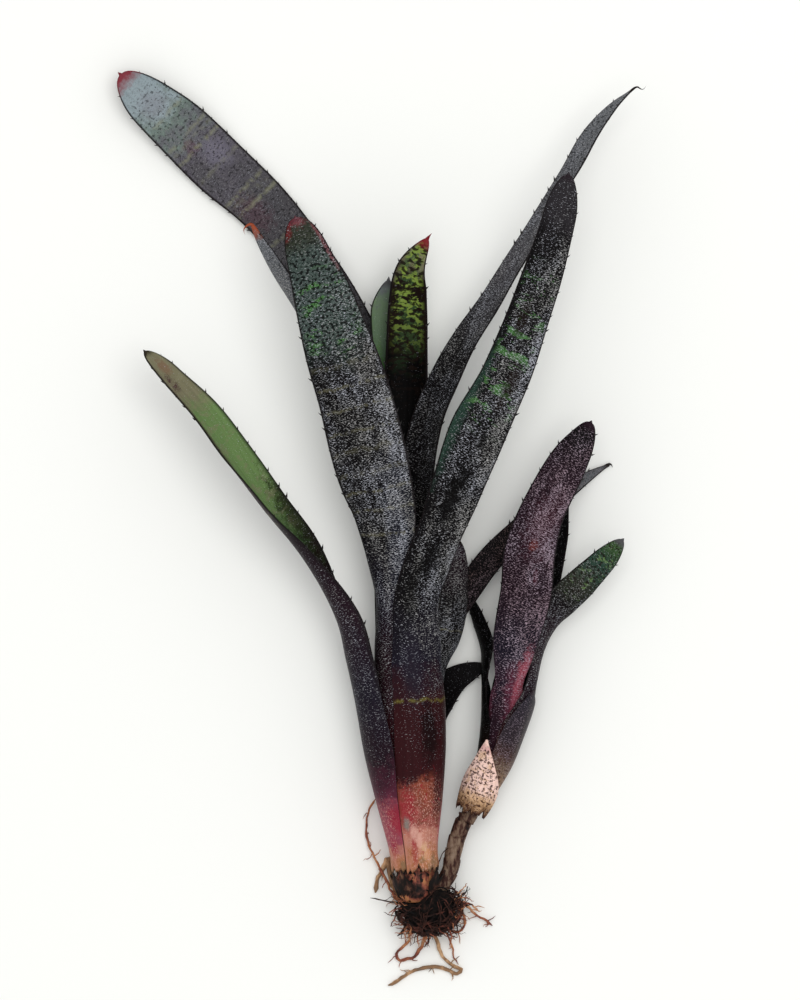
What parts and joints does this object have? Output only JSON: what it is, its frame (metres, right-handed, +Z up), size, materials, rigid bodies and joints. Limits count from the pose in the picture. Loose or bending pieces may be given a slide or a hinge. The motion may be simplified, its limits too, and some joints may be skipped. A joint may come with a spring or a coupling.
{
  "type": "neoregelia bromeliad",
  "caption": "Bare-root neoregelia: a tubular rosette of dark, silver-barred, spine-edged strap leaves with a young pup on a short stolon and a tuft of roots, lying flat.",
  "frame": {"origin": "on the surface the plant lies on, under the middle of its footprint", "axes": "+Y from the roots to the leaf tips, +Z up off the surface, +X towards the pup's side"},
  "size_m": [0.2097, 0.3672, 0.0506],
  "materials": {
    "leaf_dark": "near-black purple-green leaf skin, semi-gloss, with fine silvery scurf in broken cross bars",
    "leaf_grey": "blue-grey scurfy leaf skin with faint olive cross bars and a red tip rim",
    "leaf_green": "satin green leaf skin with dark brown blotches and dark margins",
    "leaf_purple": "maroon-purple leaf skin with fine silver scurf and a red flush at the base",
    "bract_papery": "dry papery pinkish-white bract with brown specks",
    "stem_bark": "dry cream-orange and brown stem, stolon and torn leaf bases",
    "root_fibre": "dark brown matted root mass with orange-brown wiry roots"
  },
  "bodies": {
    "root": {"leaf_left_paddle": "leaf_grey", "leaf_front_left": "leaf_dark", "leaf_left_folded": "leaf_dark", "leaf_front_right": "leaf_dark", "leaf_left_low": "leaf_green", "leaf_right_long": "leaf_dark", "leaf_centre_spotted": "leaf_green", "leaf_back_green": "leaf_green", "leaf_right_short": "leaf_dark", "leaf_right_arching": "leaf_dark", "leaf_right_low": "leaf_dark", "pup_leaf_front": "leaf_purple", "pup_leaf_right": "leaf_purple", "pup_leaf_back": "leaf_dark", "pup_leaf_left": "leaf_dark", "pup_bract_dark": "leaf_purple", "pup_bract_papery": "bract_papery", "stem": "stem_bark", "roots": "root_fibre"}
  },
  "joints": []
}
